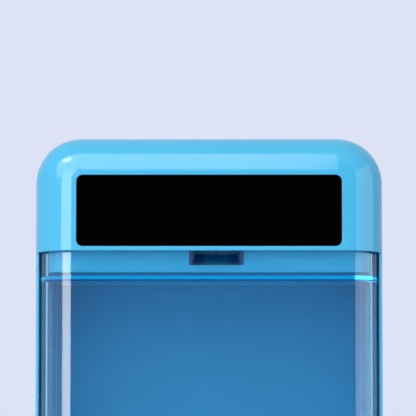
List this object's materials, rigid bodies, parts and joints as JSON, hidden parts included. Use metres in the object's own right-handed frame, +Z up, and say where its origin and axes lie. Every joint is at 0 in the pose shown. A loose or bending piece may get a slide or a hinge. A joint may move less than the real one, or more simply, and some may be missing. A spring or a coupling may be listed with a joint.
{
  "type": "timed lock container",
  "caption": "Upright lock box: opaque head with display, timer buttons and motor bolt above a clear flip-down door.",
  "frame": {"origin": "on the table, under the middle of the closed box standing upright", "axes": "+Z up along the box's height, +X to the viewer's right, +Y from the door to the back"},
  "size_m": [0.096, 0.042, 0.208],
  "materials": {
    "sky_plastic": "high-gloss moulded ABS, sky blue",
    "clear_blue": "polished transparent polycarbonate, ocean blue tint",
    "black_lens": "polished black acrylic",
    "pale_plastic": "natural moulded",
    "circuit_board": "green solder mask",
    "black_plastic": "moulded",
    "zinc_steel": "zinc plated",
    "button_plastic": "gloss moulded, ice white",
    "indigo_plastic": "moulded, dark indigo",
    "bolt_steel": "bright drawn steel",
    "motor_can": "bright plated can",
    "cell_jacket": "plain satin jacket",
    "foot_rubber": "moulded"
  },
  "bodies": {
    "frame": {"housing": "sky_plastic", "back_cover": "sky_plastic", "display_lens": "black_lens", "display_module": "pale_plastic", "main_board": "circuit_board", "controller_chip": "black_plastic", "buzzer": "black_plastic", "board_screws": "zinc_steel", "button_board": "circuit_board", "button_board_screws": "zinc_steel", "tact_switches": "black_plastic", "lock_case": "indigo_plastic", "lock_case_screws": "zinc_steel", "gear_motor": "motor_can", "battery_cells": "cell_jacket", "battery_contacts": "zinc_steel", "hinge_pins": "bolt_steel", "rubber_feet": "foot_rubber", "cover_screws": "zinc_steel"},
    "door": {"clear_door": "clear_blue"},
    "bolt": {"lock_bolt": "bolt_steel"},
    "pinion": {"drive_pinion": "pale_plastic", "output_shaft": "bolt_steel"},
    "hour_key": {"hour_button": "button_plastic"},
    "minute_key": {"minute_button": "button_plastic"},
    "lock_key": {"lock_button": "button_plastic"},
    "hatch": {"battery_door": "sky_plastic"}
  },
  "joints": [
    {"name": "door_hinge", "type": "hinge", "parent": "frame", "child": "door", "pos_m": [0, -0.0135, 0.009], "axis": [1, 0, 0], "range_deg": [0, 90]},
    {"name": "bolt_slide", "type": "slide", "parent": "frame", "child": "bolt", "axis": [0, 0, -1], "range_m": [0, 0.0032]},
    {"name": "pinion_turn", "type": "hinge", "parent": "frame", "child": "pinion", "pos_m": [0.002, -0.00243, 0.1866], "axis": [1, 0, 0], "range_deg": [0, 61.2]},
    {"name": "hour_press", "type": "slide", "parent": "frame", "child": "hour_key", "axis": [0, 0, -1], "range_m": [0, 0.0005], "stiffness_N_per_m": 600, "springref_m": -0.001},
    {"name": "minute_press", "type": "slide", "parent": "frame", "child": "minute_key", "axis": [0, 0, -1], "range_m": [0, 0.0005], "stiffness_N_per_m": 600, "springref_m": -0.001},
    {"name": "lock_press", "type": "slide", "parent": "frame", "child": "lock_key", "axis": [0, 0, -1], "range_m": [0, 0.0005], "stiffness_N_per_m": 600, "springref_m": -0.001},
    {"name": "hatch_lift", "type": "slide", "parent": "frame", "child": "hatch", "axis": [0, 1, 0], "range_m": [0, 0.012]}
  ],
  "couplings": [
    {"joint": "pinion_turn", "follows": "bolt_slide", "rad_per_m": 333.33}
  ]
}
